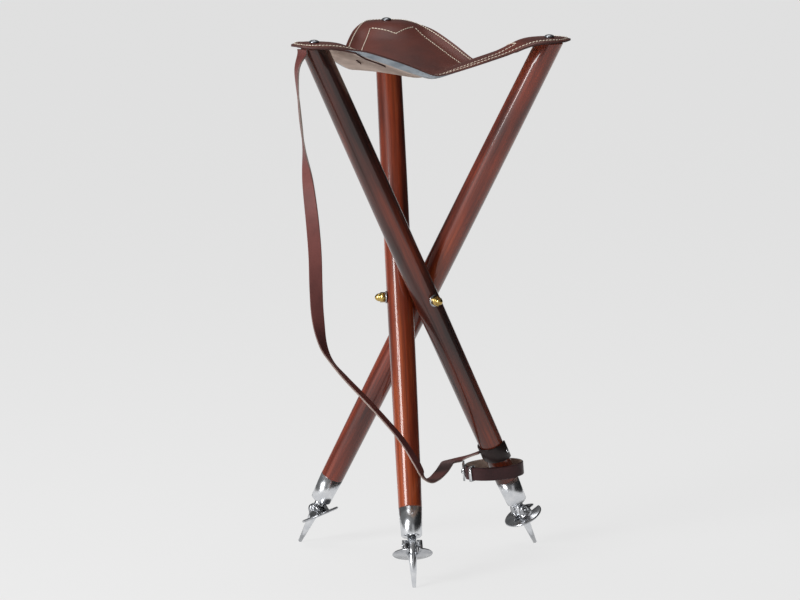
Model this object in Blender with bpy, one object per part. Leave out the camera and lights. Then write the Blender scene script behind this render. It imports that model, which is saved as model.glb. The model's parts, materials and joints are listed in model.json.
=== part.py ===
"""Tripod hunting stool: turned legs on a three-way bolt, a leather seat, mud discs and a carry strap.

Metres, +Z up. Photo right is +X and away from the camera is +Y. The spikes' tips stand at z = 0.
"""
import math

import bmesh
import bpy
from mathutils import Matrix, Vector

# Frame of the tripod, with its axis set so that the whole stool is centred over the origin
AXIS_X = -0.0175
AXIS_Y = -0.0075
LEAN = math.radians(27.5)
HUB_HEIGHT = 0.3276
LEG_TOP_HEIGHT = 0.647
LEG_OFFSET = 0.0205
STUD_AZIMUTH = {"a": math.radians(305.8), "b": math.radians(185.8), "c": math.radians(65.8)}

# Fits, and how far a cutter runs past the face that it opens
GAP = 0.0003
CUT_PAST = 0.0100

# Looks: colour, roughness and metallic value
WOOD = ((0.16, 0.022, 0.010), 0.18, 0.0)
BRASS = ((0.75, 0.48, 0.14), 0.22, 1.0)
STEEL = ((0.55, 0.55, 0.56), 0.30, 1.0)
POLISHED = ((0.80, 0.80, 0.82), 0.15, 1.0)
LEATHER = ((0.110, 0.026, 0.020), 0.42, 0.0)
SUEDE = ((0.42, 0.38, 0.37), 0.90, 0.0)
STRAP_LEATHER = ((0.105, 0.030, 0.026), 0.45, 0.0)

# Legs
LEG_TOP_RADIUS = 0.0156
LEG_HUB_RADIUS = 0.0162
LEG_FOOT_RADIUS = 0.0143
LEG_SIDES = 32
LEG_RINGS = 8
LEG_EDGE_BREAK = 0.0012

# Three-way bolt, washers and acorn nuts
STUD_RADIUS = 0.0040
BOLT_CORE_RADIUS = 0.0042
WASHER_RADIUS = 0.0075
WASHER_THICKNESS = 0.0015
NUT_ACROSS_FLATS = 0.0112
NUT_HEX_HEIGHT = 0.0060
NUT_DOME_RADIUS = 0.0052
NUT_HEIGHT = 0.0128
NUT_THREAD_DEPTH = 0.0080

# Feet, measured along the leg from the spike's tip
SPIKE_LENGTH = 0.0400
SPIKE_TIP_RADIUS = 0.0022
SHANK_RADIUS = 0.0055
SHANK_LENGTH = 0.0230
SPIKE_STUD_RADIUS = 0.0040
SPIKE_STUD_LENGTH = 0.0200
FERRULE_LENGTH = 0.0350
FERRULE_WALL = 0.0018
FERRULE_FLOOR = 0.0040
FERRULE_END_RADIUS = 0.0128

# Mud discs
DISC_RADIUS = 0.0245
DISC_THICKNESS = 0.0030
DISC_RIM_ROUND = 0.0012
SLOT_CLEARANCE = 0.0005
EAR_THICKNESS = 0.0060
EAR_RADIUS = 0.0065
EAR_FLARE = 0.0020
PIN_RADIUS = 0.0020
PIN_HEIGHT = 0.0090
PIN_END = 0.0006
DISC_SWING = {"a": 0.0, "b": 0.0, "c": math.radians(52)}

# Leather seat
SEAT_THICKNESS = 0.0032
PATCH_THICKNESS = 0.0020
SEAT_OVERHANG = 0.0245
SEAT_EDGE_DISTANCE = 0.1130
SEAT_EDGE_HOLLOW = 0.0120
SEAT_CORNER_BLEND = 30
SEAT_SLOPE = 0.36
SEAT_FLAT_MARGIN = 0.0060
SEAT_BEND_ROUND = 0.0003
SEAT_CREASE_ROUND = 0.0020
SEAT_HALF_STEPS = 14
SEAT_INNER_RINGS = 6
PATCH_HALF_ANGLE = math.radians(17)
PATCH_INNER_RINGS = 2

# Seat screws
SCREW_HEAD_RADIUS = 0.0062
SCREW_HEAD_HEIGHT = 0.0034
SCREW_RADIUS = 0.0024
SCREW_DEPTH = 0.0130

# Foot belt on leg A, hanging nearly level
BELT_TILT = math.radians(22)
BELT_WIDTH = 0.0160
BELT_THICKNESS = 0.0024
BELT_ABOVE_FERRULE = 0.0080
BELT_HALF_LENGTH = 0.0355
BELT_HALF_DEPTH = 0.0230
BELT_LEFT_SHIFT = 0.0095
BELT_LEFT_ANGLE = math.radians(-39)
BELT_STEPS = 40
BELT_EASE = 0.0005
TAIL_START = math.radians(24)
TAIL_END = math.radians(152)
TAIL_STEPS = 18
TAIL_POINT = 0.0090
KEEPER_AT = math.radians(42)
KEEPER_WIDTH = 0.0040
KEEPER_THICKNESS = 0.0012
KEEPER_SPARE = 0.0006
BUCKLE_WIRE = 0.0024
BUCKLE_LENGTH = 0.0170
BUCKLE_SPARE = 0.0030
PRONG_RADIUS = 0.0009
PRONG_EYE_WALL = 0.0007

# Strap's end, wrapped round the front of leg A and riveted: it widens from the strap to the tab
TAB_LENGTH = 0.0240
TAB_THICKNESS = 0.0022
TAB_ABOVE_BELT = 0.0040
TAB_ANGLE = math.radians(118)
TAB_HALF_ANGLE = math.radians(22)
WRAP_START = math.radians(-64)
WRAP_RISE = 0.0130
WRAP_STEPS = 16
RIVET_RADIUS = 0.0028
RIVET_HEIGHT = 0.0012
RIVET_SHAFT_RADIUS = 0.0014
RIVET_DEPTH = 0.0060

# Carry strap: hand-chosen route in world metres from the tripod's axis, with the way its face looks
STRAP_WIDTH = 0.0160
STRAP_THICKNESS = 0.0024
STRAP_STEPS = 78
STRAP_START_DROP = 0.0060
STRAP_END_ANGLE = math.radians(-39)
STRAP_END_RUN = 0.0280
STRAP_ROUTE = (
    (-0.143, -0.134, 0.620),
    (-0.140, -0.135, 0.575),
    (-0.135, -0.135, 0.530),
    (-0.130, -0.135, 0.485),
    (-0.125, -0.136, 0.440),
    (-0.122, -0.136, 0.400),
    (-0.121, -0.136, 0.360),
    (-0.119, -0.137, 0.325),
    (-0.113, -0.138, 0.292),
    (-0.102, -0.139, 0.270),
    (-0.085, -0.140, 0.250),
    (-0.062, -0.141, 0.226),
    (-0.040, -0.142, 0.202),
    (-0.018, -0.144, 0.176),
    (-0.001, -0.150, 0.150),
    (0.010, -0.150, 0.130),
    (0.020, -0.125, 0.124),
    (0.030, -0.080, 0.124),
    (0.036, -0.030, 0.122),
    (0.040, 0.020, 0.116),
)
STRAP_FACES = (
    (-0.73, -0.68, 0.0),
    (-0.73, -0.68, 0.0),
    (-0.80, -0.60, 0.0),
    (-0.99, -0.10, 0.0),
    (-0.80, -0.60, 0.0),
    (-0.45, -0.90, 0.0),
    (-0.20, -0.98, 0.0),
    (0.00, -1.00, 0.0),
    (0.20, -0.98, 0.0),
    (0.40, -0.90, 0.0),
    (0.80, -0.50, 0.2),
    (0.95, -0.10, 0.4),
    (0.70, -0.15, 0.7),
    (0.70, -0.20, 0.7),
    (0.72, -0.20, 0.7),
    (0.75, -0.25, 0.6),
    (0.85, -0.35, 0.4),
    (0.70, -0.50, 0.5),
    (0.20, -0.30, 0.9),
    (0.00, 0.00, 1.0),
    (0.00, 0.00, 1.0),
    (0.00, 0.00, 1.0),
    (0.00, 0.00, 1.0),
    (0.00, 0.00, 1.0),
)

# Sizes that follow from those above
TIP_DROP = (HUB_HEIGHT - SPIKE_TIP_RADIUS * math.sin(LEAN)) / math.cos(LEAN)
LEG_TOP = (LEG_TOP_HEIGHT - HUB_HEIGHT) / math.cos(LEAN)
SPIKE_ROOT = -TIP_DROP + SPIKE_LENGTH
FERRULE_BOTTOM = SPIKE_ROOT + SHANK_LENGTH
FERRULE_TOP = FERRULE_BOTTOM + FERRULE_LENGTH
TENON_BOTTOM = FERRULE_BOTTOM + FERRULE_FLOOR + GAP
PIN_AT = SPIKE_ROOT + DISC_THICKNESS + PIN_HEIGHT
SLOT_HALF = SHANK_RADIUS + SLOT_CLEARANCE
BELT_AT = FERRULE_TOP + BELT_ABOVE_FERRULE + BELT_WIDTH / 2
TAB_BOTTOM = BELT_AT + BELT_WIDTH / 2 + TAB_ABOVE_BELT
PATCH_BOTTOM = LEG_TOP_HEIGHT + GAP
SEAT_BOTTOM = PATCH_BOTTOM + PATCH_THICKNESS + GAP
SEAT_TOP = SEAT_BOTTOM + SEAT_THICKNESS
SCREW_TOP = SEAT_TOP + GAP
CORNER_REACH = math.hypot(LEG_OFFSET, (LEG_TOP_HEIGHT - HUB_HEIGHT) * math.tan(LEAN))
SEAT_REACH = CORNER_REACH + SEAT_OVERHANG
SEAT_FLAT_RADIUS = SEAT_OVERHANG + SEAT_FLAT_MARGIN
UP = Vector((0, 0, 1))


def clear_scene():
    for old in list(bpy.data.objects):
        bpy.data.objects.remove(old, do_unlink=True)


def material(name, look):
    colour, roughness, metallic = look
    made = bpy.data.materials.new(name)
    made.use_nodes = True
    shader = made.node_tree.nodes["Principled BSDF"]
    shader.inputs["Base Color"].default_value = (*colour, 1)
    shader.inputs["Roughness"].default_value = roughness
    shader.inputs["Metallic"].default_value = metallic
    return made


def add_object(name, bm, look, parent=None, place=None):
    """Make an object of the bmesh, in its parent's axes."""
    bmesh.ops.recalc_face_normals(bm, faces=bm.faces)
    mesh = bpy.data.meshes.new(name)
    bm.to_mesh(mesh)
    bm.free()
    mesh.shade_smooth()
    mesh.set_sharp_from_angle(angle=math.radians(35))
    made = bpy.data.objects.new(name, mesh)
    bpy.context.scene.collection.objects.link(made)
    if look:
        mesh.materials.append(material(name, look))
    if parent:
        made.parent = parent
    if place:
        made.matrix_local = place
    return made


def add_cutter(name, bm, parent=None, place=None):
    made = add_object(name, bm, None, parent, place)
    made.hide_render = True
    made.display_type = "WIRE"
    return made


def combine(target, other, operation):
    step = target.modifiers.new(f"{operation.lower()} {other.name}", "BOOLEAN")
    step.operation = operation
    step.solver = "EXACT"
    step.object = other


def add_empty(name, place, parent=None):
    made = bpy.data.objects.new(name, None)
    bpy.context.scene.collection.objects.link(made)
    if parent:
        made.parent = parent
    made.matrix_local = place
    return made


def loft(rings, closed=False):
    """Join rings of equally many points into a solid, capped at both ends unless it closes on itself."""
    bm = bmesh.new()
    rows = [[bm.verts.new(point) for point in ring] for ring in rings]
    count = len(rows[0])
    pairs = list(zip(rows, rows[1:]))
    if closed:
        pairs.append((rows[-1], rows[0]))
    else:
        bm.faces.new(rows[0][::-1])
        bm.faces.new(rows[-1])
    for low, high in pairs:
        for k in range(count):
            after = (k + 1) % count
            bm.faces.new((low[k], low[after], high[after], high[k]))
    return bm


def turned(profile, sides):
    """A solid of revolution about Z from (radius, height) pairs, bottom to top."""
    turns = [2 * math.pi * k / sides for k in range(sides)]
    return loft([[(r * math.cos(a), r * math.sin(a), z) for a in turns] for r, z in profile])


def plate(outline, low, high):
    """An outline in X and Z, given thickness along Y."""
    return loft([[(x, y, z) for x, z in outline] for y in (low, high)])


def arc(radius, start, end, steps, centre=(0, 0)):
    angles = [start + (end - start) * k / steps for k in range(steps + 1)]
    return [(centre[0] + radius * math.cos(a), centre[1] + radius * math.sin(a)) for a in angles]


def smooth_route(points, steps):
    """Points along a Catmull-Rom curve through the given ones."""
    points = [Vector(p) for p in points]
    ends = [2 * points[0] - points[1], *points, 2 * points[-1] - points[-2]]
    route = []
    for k in range(steps + 1):
        at = k / steps * (len(points) - 1)
        i = min(int(at), len(points) - 2)
        u = at - i
        p0, p1, p2, p3 = ends[i:i + 4]
        route.append(0.5 * (2 * p1 + (p2 - p0) * u + (2 * p0 - 5 * p1 + 4 * p2 - p3) * u ** 2
                            + (3 * p1 - p0 - 3 * p2 + p3) * u ** 3))
    return route


def ribbon(route, faces, width, thickness, closed=False, taper=None):
    """A flat strip along a route; faces are the ways its broad side looks."""
    rings = []
    last = len(route) - 1
    for k, point in enumerate(route):
        before = route[k - 1] if k or closed else route[k]
        after = route[(k + 1) % len(route)] if k < last or closed else route[k]
        along = (after - before).normalized()
        out = (faces[k] - faces[k].dot(along) * along).normalized() * thickness / 2
        side = along.cross(out).normalized() * width / 2 * (taper[k] if taper else 1)
        rings.append([point + side + out, point - side + out, point - side - out, point + side - out])
    return loft(rings, closed)


def leg_frame(letter):
    """Axes of a leg: origin where its axis meets its stud, Z up the leg, Y out along the stud."""
    azimuth = STUD_AZIMUTH[letter]
    out = Vector((math.cos(azimuth), math.sin(azimuth), 0))
    up_leg = math.cos(LEAN) * UP - math.sin(LEAN) * UP.cross(out)
    place = Matrix((out.cross(up_leg), out, up_leg)).transposed().to_4x4()
    place.translation = Vector((AXIS_X, AXIS_Y, HUB_HEIGHT)) + LEG_OFFSET * out
    return place


def leg_radius(along):
    """The leg's barrel: a parabola through its foot, hub and top radii."""
    foot, top = FERRULE_TOP, LEG_TOP
    return (LEG_FOOT_RADIUS * along * (along - top) / (foot * (foot - top))
            + LEG_HUB_RADIUS * (along - foot) * (along - top) / (foot * top)
            + LEG_TOP_RADIUS * along * (along - foot) / (top * (top - foot)))


def top_point(letter):
    return leg_frame(letter) @ Vector((0, 0, LEG_TOP))


def corner_azimuth(letter):
    top = top_point(letter)
    return math.atan2(top.y - AXIS_Y, top.x - AXIS_X)


def seat_outline(turn):
    """Distance from the axis to the leather's edge, with turn measured from the nearest corner."""
    to_edge = math.pi / 3 - abs(turn)
    end = SEAT_REACH / math.cos(turn)
    side = SEAT_EDGE_DISTANCE / math.cos(to_edge) - SEAT_EDGE_HOLLOW * math.cos(1.5 * to_edge) ** 2
    blend = SEAT_CORNER_BLEND
    return (end ** -blend + side ** -blend) ** (-1 / blend)


def seat_sag(letter, turn, distance):
    """How far the leather hangs below its corners: it slopes from each leg's top and creases in between."""
    azimuth = corner_azimuth(letter) + turn
    spot = Vector((AXIS_X + distance * math.cos(azimuth), AXIS_Y + distance * math.sin(azimuth)))
    near = 0.0
    for other in STUD_AZIMUTH:
        slope = SEAT_SLOPE * ((spot - top_point(other).xy).length - SEAT_FLAT_RADIUS)
        hang = SEAT_BEND_ROUND * math.log(1 + math.exp(slope / SEAT_BEND_ROUND))
        near += math.exp(-hang / SEAT_CREASE_ROUND)
    return max(-SEAT_CREASE_ROUND * math.log(near), 0.0)


def seat_point(letter, turn, distance, height):
    azimuth = corner_azimuth(letter) + turn
    return Vector((AXIS_X + distance * math.cos(azimuth), AXIS_Y + distance * math.sin(azimuth),
                   height - seat_sag(letter, turn, distance)))


def leather_sheet(rows, low, high, wraps, centre=None):
    """A sheet with thickness: rows of (letter, turn, distance) from inside to outside."""
    bm = bmesh.new()
    layers = []
    for height in (low, high):
        layers.append([[bm.verts.new(seat_point(*spot, height)) for spot in row] for row in rows])
    count = len(rows[0])
    steps = range(count if wraps else count - 1)
    for layer in layers:
        for inner, outer in zip(layer, layer[1:]):
            for k in steps:
                after = (k + 1) % count
                bm.faces.new((inner[k], inner[after], outer[after]))
                bm.faces.new((inner[k], outer[after], outer[k]))
    walls = [[layer[-1] for layer in layers]]
    if centre:
        for layer, height in zip(layers, (low, high)):
            middle = bm.verts.new(seat_point(*centre, height))
            for k in steps:
                bm.faces.new((middle, layer[0][k], layer[0][(k + 1) % count]))
    else:
        walls.append([layer[0] for layer in layers])
        walls.append([[row[0] for row in layer] for layer in layers])
        walls.append([[row[-1] for row in layer] for layer in layers])
    for under, over in walls:
        for k in range(len(under) if wraps else len(under) - 1):
            after = (k + 1) % len(under)
            bm.faces.new((under[k], under[after], over[after], over[k]))
    return bm


def make_hub(hub):
    """The three-way bolt and, on each stud, a washer and an acorn nut."""
    core_profile = [(BOLT_CORE_RADIUS * math.cos(a), BOLT_CORE_RADIUS * math.sin(a))
                    for a in [math.radians(d) for d in range(-80, 81, 20)]]
    bolt = add_object("three_way_bolt", turned(core_profile, 24), BRASS, hub)
    washer_inner = LEG_OFFSET + LEG_HUB_RADIUS + GAP
    nut_inner = washer_inner + WASHER_THICKNESS + GAP
    stud_end = nut_inner + NUT_THREAD_DEPTH - GAP
    for letter, azimuth in STUD_AZIMUTH.items():
        along_stud = Matrix.Rotation(azimuth, 4, "Z") @ Matrix.Rotation(math.pi / 2, 4, "Y")
        stud = turned([(STUD_RADIUS, 0), (STUD_RADIUS, stud_end)], 20)
        combine(bolt, add_cutter(f"stud_{letter}", stud, hub, along_stud), "UNION")

        hole = turned([(STUD_RADIUS + GAP, 0), (STUD_RADIUS + GAP, nut_inner + NUT_THREAD_DEPTH)], 20)
        hole = add_cutter(f"stud_hole_{letter}", hole, hub, along_stud)
        ring = [(WASHER_RADIUS, washer_inner), (WASHER_RADIUS, washer_inner + WASHER_THICKNESS)]
        washer = add_object(f"stud_washer_{letter}", turned(ring, 28), STEEL, hub, along_stud)
        combine(washer, hole, "DIFFERENCE")

        hex_radius = NUT_ACROSS_FLATS / math.sqrt(3)
        hexagon = turned([(hex_radius, nut_inner), (hex_radius, nut_inner + NUT_HEX_HEIGHT)], 6)
        nut = add_object(f"acorn_nut_{letter}", hexagon, BRASS, hub, along_stud)
        dome_height = NUT_HEIGHT - NUT_HEX_HEIGHT
        dome = [(NUT_DOME_RADIUS, nut_inner + NUT_HEX_HEIGHT / 2)]
        for k in range(6):
            rise = k / 6 * math.pi / 2
            dome.append((NUT_DOME_RADIUS * math.cos(rise),
                         nut_inner + NUT_HEX_HEIGHT + dome_height * math.sin(rise)))
        dome.append((NUT_DOME_RADIUS / 10, nut_inner + NUT_HEIGHT))
        combine(nut, add_cutter(f"nut_dome_{letter}", turned(dome, 20), hub, along_stud), "UNION")
        combine(nut, hole, "DIFFERENCE")


def make_leg(letter, leg):
    """The turned leg with a level top, a foot tenon, and bores for stud, spike and seat screw."""
    tenon_radius = LEG_FOOT_RADIUS - FERRULE_WALL - GAP
    tenon_end = FERRULE_END_RADIUS - FERRULE_WALL - GAP
    shoulder = FERRULE_TOP + GAP
    profile = [(tenon_end, TENON_BOTTOM), (tenon_radius, shoulder),
               (LEG_FOOT_RADIUS - LEG_EDGE_BREAK / 3, shoulder)]
    for k in range(LEG_RINGS + 1):
        along = shoulder + LEG_EDGE_BREAK + (LEG_TOP - 2 * LEG_EDGE_BREAK - shoulder) * k / LEG_RINGS
        profile.append((leg_radius(along), along))
    profile.append((LEG_TOP_RADIUS - LEG_EDGE_BREAK, LEG_TOP))
    bm = turned(profile, LEG_SIDES)
    for vert in bm.verts:
        if vert.co.z > LEG_TOP - 2 * LEG_EDGE_BREAK:
            vert.co.z += vert.co.x * math.tan(LEAN)
    wood = add_object(f"leg_{letter}", bm, WOOD, leg)

    across = Matrix.Rotation(-math.pi / 2, 4, "X")
    through = LEG_HUB_RADIUS + CUT_PAST
    bore = turned([(STUD_RADIUS + GAP, -through), (STUD_RADIUS + GAP, through)], 20)
    combine(wood, add_cutter(f"leg_stud_bore_{letter}", bore, leg, across), "DIFFERENCE")
    stud_top = TENON_BOTTOM + SPIKE_STUD_LENGTH - FERRULE_FLOOR
    wide = SPIKE_STUD_RADIUS + GAP
    bore = turned([(wide, TENON_BOTTOM - CUT_PAST), (wide, stud_top + 2 * GAP)], 20)
    combine(wood, add_cutter(f"leg_spike_bore_{letter}", bore, leg), "DIFFERENCE")
    top = top_point(letter)
    wide = SCREW_RADIUS + GAP
    bore = turned([(wide, top.z - SCREW_DEPTH - 2 * GAP), (wide, top.z + CUT_PAST)], 14)
    upright = leg_frame(letter).inverted() @ Matrix.Translation((top.x, top.y, 0))
    combine(wood, add_cutter(f"leg_screw_bore_{letter}", bore, leg, upright), "DIFFERENCE")


def make_foot(letter, leg):
    """Ferrule and spike on the leg, and the mud disc with its pin on the pin's axis."""
    outer = [(FERRULE_END_RADIUS - LEG_EDGE_BREAK, FERRULE_BOTTOM),
             (FERRULE_END_RADIUS, FERRULE_BOTTOM + LEG_EDGE_BREAK), (LEG_FOOT_RADIUS, FERRULE_TOP)]
    ferrule = add_object(f"ferrule_{letter}", turned(outer, LEG_SIDES), POLISHED, leg)
    inside = FERRULE_BOTTOM + FERRULE_FLOOR
    cup = [(FERRULE_END_RADIUS - FERRULE_WALL, inside), (LEG_FOOT_RADIUS - FERRULE_WALL, FERRULE_TOP),
           (LEG_FOOT_RADIUS - FERRULE_WALL, FERRULE_TOP + CUT_PAST)]
    combine(ferrule, add_cutter(f"ferrule_cup_{letter}", turned(cup, LEG_SIDES), leg), "DIFFERENCE")
    wide = SPIKE_STUD_RADIUS + GAP
    hole = turned([(wide, FERRULE_BOTTOM - CUT_PAST), (wide, inside + CUT_PAST)], 20)
    combine(ferrule, add_cutter(f"ferrule_hole_{letter}", hole, leg), "DIFFERENCE")

    shank_top = FERRULE_BOTTOM - GAP
    outline = [(SPIKE_TIP_RADIUS, -TIP_DROP), (SHANK_RADIUS, SPIKE_ROOT), (SHANK_RADIUS, shank_top),
               (SPIKE_STUD_RADIUS, shank_top), (SPIKE_STUD_RADIUS, shank_top + SPIKE_STUD_LENGTH)]
    spike = add_object(f"spike_{letter}", turned(outline, 20), STEEL, leg)
    swing = Matrix.Translation((0, 0, PIN_AT)) @ Matrix.Rotation(-DISC_SWING[letter], 4, "Y")
    pivot = add_empty(f"disc_pivot_{letter}", swing, leg)
    along_pin = Matrix.Rotation(-math.pi / 2, 4, "X")
    half = SLOT_HALF + EAR_THICKNESS + PIN_END
    through = half + CUT_PAST
    hole = turned([(PIN_RADIUS + GAP, -through), (PIN_RADIUS + GAP, through)], 16)
    hole = add_cutter(f"pin_hole_{letter}", hole, pivot, along_pin)
    combine(spike, hole, "DIFFERENCE")

    low = -PIN_HEIGHT - DISC_THICKNESS
    round_edge = DISC_RIM_ROUND
    profile = [(DISC_RADIUS - round_edge, low), (DISC_RADIUS, low + round_edge),
               (DISC_RADIUS, -PIN_HEIGHT - round_edge), (DISC_RADIUS - round_edge, -PIN_HEIGHT)]
    disc = add_object(f"mud_disc_{letter}", turned(profile, 36), STEEL, pivot)
    ear_root = -PIN_HEIGHT - DISC_THICKNESS / 2
    ear = arc(EAR_RADIUS, 0, math.pi, 10)
    ear += [(-EAR_RADIUS - EAR_FLARE, ear_root), (EAR_RADIUS + EAR_FLARE, ear_root)]
    for side in (-1, 1):
        walls = sorted((side * SLOT_HALF, side * (SLOT_HALF + EAR_THICKNESS)))
        combine(disc, add_cutter(f"disc_ear_{letter}_{side}", plate(ear, *walls), pivot), "UNION")
    slot = arc(SLOT_HALF, -math.pi / 2, math.pi / 2, 10)
    slot += [(-2 * DISC_RADIUS, SLOT_HALF), (-2 * DISC_RADIUS, -SLOT_HALF)]
    lying = Matrix.Rotation(math.pi / 2, 4, "X")
    cut = plate(slot, PIN_HEIGHT - DISC_THICKNESS, PIN_HEIGHT + 2 * DISC_THICKNESS)
    combine(disc, add_cutter(f"disc_slot_{letter}", cut, pivot, lying.inverted()), "DIFFERENCE")
    combine(disc, hole, "DIFFERENCE")
    pin = [(PIN_RADIUS - PIN_END, -half), (PIN_RADIUS, PIN_END - half), (PIN_RADIUS, half - PIN_END),
           (PIN_RADIUS - PIN_END, half)]
    add_object(f"disc_pin_{letter}", turned(pin, 16), STEEL, pivot, along_pin)


def make_seat():
    """The leather panel, the patches sewn under its corners and the screws through both."""
    spread = [k / SEAT_HALF_STEPS for k in range(-SEAT_HALF_STEPS, SEAT_HALF_STEPS)]
    turns = [math.copysign(abs(k) ** 1.5, k) * math.pi / 3 for k in spread]
    around = [(letter, turn) for letter in sorted(STUD_AZIMUTH, key=corner_azimuth) for turn in turns]
    inner = CORNER_REACH - SEAT_OVERHANG
    rings = [inner * k / SEAT_INNER_RINGS for k in range(1, SEAT_INNER_RINGS + 1)]
    rings += [CORNER_REACH, SEAT_REACH]
    rows = [[(letter, turn, seat_outline(turn) * ring / SEAT_REACH) for letter, turn in around]
            for ring in rings]
    sheet = leather_sheet(rows, SEAT_BOTTOM, SEAT_TOP, True, ("a", 0.0, 0.0))
    panel = add_object("seat_panel", sheet, LEATHER)
    for letter in STUD_AZIMUTH:
        under = [[spot for spot in row if spot[0] == letter and abs(spot[1]) <= PATCH_HALF_ANGLE]
                 for row in rows[SEAT_INNER_RINGS - PATCH_INNER_RINGS:]]
        sheet = leather_sheet(under, PATCH_BOTTOM, PATCH_BOTTOM + PATCH_THICKNESS, False)
        patch = add_object(f"corner_patch_{letter}", sheet, SUEDE)
        top = top_point(letter)
        upright = Matrix.Translation((top.x, top.y, 0))
        wide = SCREW_RADIUS + GAP
        hole = turned([(wide, top.z - CUT_PAST), (wide, SEAT_TOP + CUT_PAST)], 14)
        hole = add_cutter(f"seat_screw_hole_{letter}", hole, None, upright)
        combine(panel, hole, "DIFFERENCE")
        combine(patch, hole, "DIFFERENCE")


def make_screw(letter, leg):
    top = top_point(letter)
    dome = [(SCREW_RADIUS, top.z - SCREW_DEPTH), (SCREW_RADIUS, SCREW_TOP), (SCREW_HEAD_RADIUS, SCREW_TOP)]
    for k in range(6):
        rise = k / 6 * math.pi / 2
        dome.append((SCREW_HEAD_RADIUS * math.cos(rise),
                     SCREW_TOP + SCREW_HEAD_HEIGHT * (0.2 + 0.8 * math.sin(rise))))
    dome.append((SCREW_HEAD_RADIUS / 10, SCREW_TOP + SCREW_HEAD_HEIGHT))
    upright = leg_frame(letter).inverted() @ Matrix.Translation((top.x, top.y, 0))
    add_object(f"seat_screw_{letter}", turned(dome, 16), STEEL, leg, upright)


def belt_axes():
    """The belt's axes in leg A's: origin on the leg's axis, Z square to the belt's plane."""
    return Matrix.Translation((0, 0, BELT_AT)) @ Matrix.Rotation(-BELT_TILT, 4, "Y")


def belt_spot(turn, lift=0.0):
    """A point on the belt's middle line in the belt's axes, and the way its outer face looks."""
    toward_front = math.pi / 2 + BELT_LEFT_ANGLE
    left = Vector((math.cos(BELT_LEFT_ANGLE), math.sin(BELT_LEFT_ANGLE), 0))
    front = Vector((math.cos(toward_front), math.sin(toward_front), 0))
    depth_at_leg = BELT_HALF_DEPTH * math.sqrt(1 - (BELT_LEFT_SHIFT / BELT_HALF_LENGTH) ** 2)
    leg_shift = BELT_WIDTH / 2 * math.tan(BELT_TILT)
    room = leg_radius(BELT_AT) / math.cos(BELT_TILT) + leg_shift + BELT_EASE
    hang = depth_at_leg - BELT_THICKNESS / 2 - room
    centre = left * BELT_LEFT_SHIFT + front * hang
    point = centre + left * BELT_HALF_LENGTH * math.cos(turn) + front * BELT_HALF_DEPTH * math.sin(turn)
    out = (left * math.cos(turn) / BELT_HALF_LENGTH + front * math.sin(turn) / BELT_HALF_DEPTH).normalized()
    return point + out * lift, out


def belt_frame(turn, lift):
    """Axes at a place on the belt: X along it, Y up the leg, Z out of its face."""
    point, out = belt_spot(turn, lift)
    along = UP.cross(out)
    place = Matrix((along, UP, out)).transposed().to_4x4()
    place.translation = point
    return place


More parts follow.
